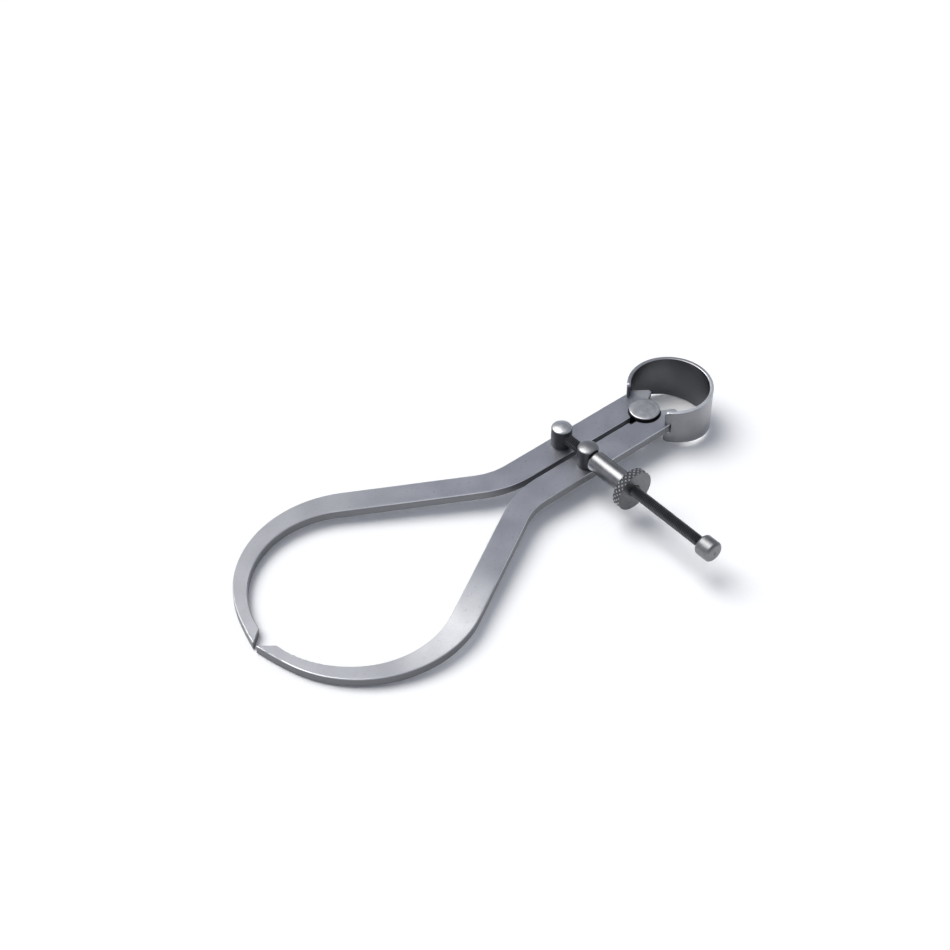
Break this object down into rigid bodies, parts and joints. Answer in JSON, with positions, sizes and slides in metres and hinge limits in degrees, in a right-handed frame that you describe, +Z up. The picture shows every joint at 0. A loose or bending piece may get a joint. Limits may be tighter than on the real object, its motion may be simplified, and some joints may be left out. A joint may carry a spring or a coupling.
{
  "type": "outside spring caliper",
  "caption": "Outside spring caliper with curved legs, a bow spring with forked ends, a fulcrum roller, swivel posts and a screw with a knurled nut.",
  "frame": {"origin": "centre of the fulcrum roller, halfway through the thickness of the legs", "axes": "+X from the tips to the bow spring, +Y towards the leg with the anchor post, +Z up, on the side where the screw stands over the legs"},
  "size_m": [0.1746, 0.097, 0.0219],
  "materials": {
    "leg_steel": "satin ground steel",
    "bow_steel": "tempered strip with polished edges",
    "turned_steel": "fine turned steel",
    "black_steel": "black oxide"
  },
  "bodies": {
    "fulcrum": {"fulcrum_roller": "turned_steel"},
    "far_leg": {"far_leg": "leg_steel"},
    "near_leg": {"near_leg": "leg_steel"},
    "bow": {"bow_spring": "bow_steel"},
    "anchor": {"anchor_post": "turned_steel", "anchor_collar": "turned_steel", "adjusting_screw": "black_steel", "screw_pin": "turned_steel", "end_cap": "turned_steel"},
    "thrust": {"thrust_post": "turned_steel", "thrust_collar": "turned_steel"},
    "nut": {"adjusting_nut": "turned_steel"}
  },
  "joints": [
    {"name": "nut_turn", "type": "hinge", "parent": "thrust", "child": "nut", "pos_m": [-0.0299, -0.0059, 0.00515], "axis": [0, -1, 0], "range_deg": [-188.1, 16409.7]},
    {"name": "far_leg_swing", "type": "hinge", "parent": "fulcrum", "child": "far_leg", "pos_m": [0, 0, 0], "axis": [0, 0, -1], "range_deg": [-0.33, 28.8]},
    {"name": "near_leg_swing", "type": "hinge", "parent": "fulcrum", "child": "near_leg", "pos_m": [0, 0, 0], "axis": [0, 0, 1], "range_deg": [-0.33, 28.8]},
    {"name": "anchor_swivel", "type": "hinge", "parent": "far_leg", "child": "anchor", "pos_m": [-0.0299, 0.0059, 0], "axis": [0, 0, 1], "range_deg": [-0.33, 28.8]},
    {"name": "thrust_swivel", "type": "hinge", "parent": "near_leg", "child": "thrust", "pos_m": [-0.0299, -0.0059, 0], "axis": [0, 0, -1], "range_deg": [-0.33, 28.8]},
    {"name": "bow_flex", "type": "slide", "parent": "fulcrum", "child": "bow", "axis": [1, 0, 0], "range_m": [-0.0001, 0.00396], "deforming": ["bow_spring"]}
  ],
  "couplings": [
    {"joint": "near_leg_swing", "follows": "far_leg_swing", "ratio": 1},
    {"joint": "anchor_swivel", "follows": "far_leg_swing", "ratio": 1},
    {"joint": "thrust_swivel", "follows": "far_leg_swing", "ratio": 1},
    {"joint": "nut_turn", "follows": "far_leg_swing", "ratio": 569.78},
    {"joint": "bow_flex", "follows": "far_leg_swing", "m_per_rad": 0.0078318}
  ]
}
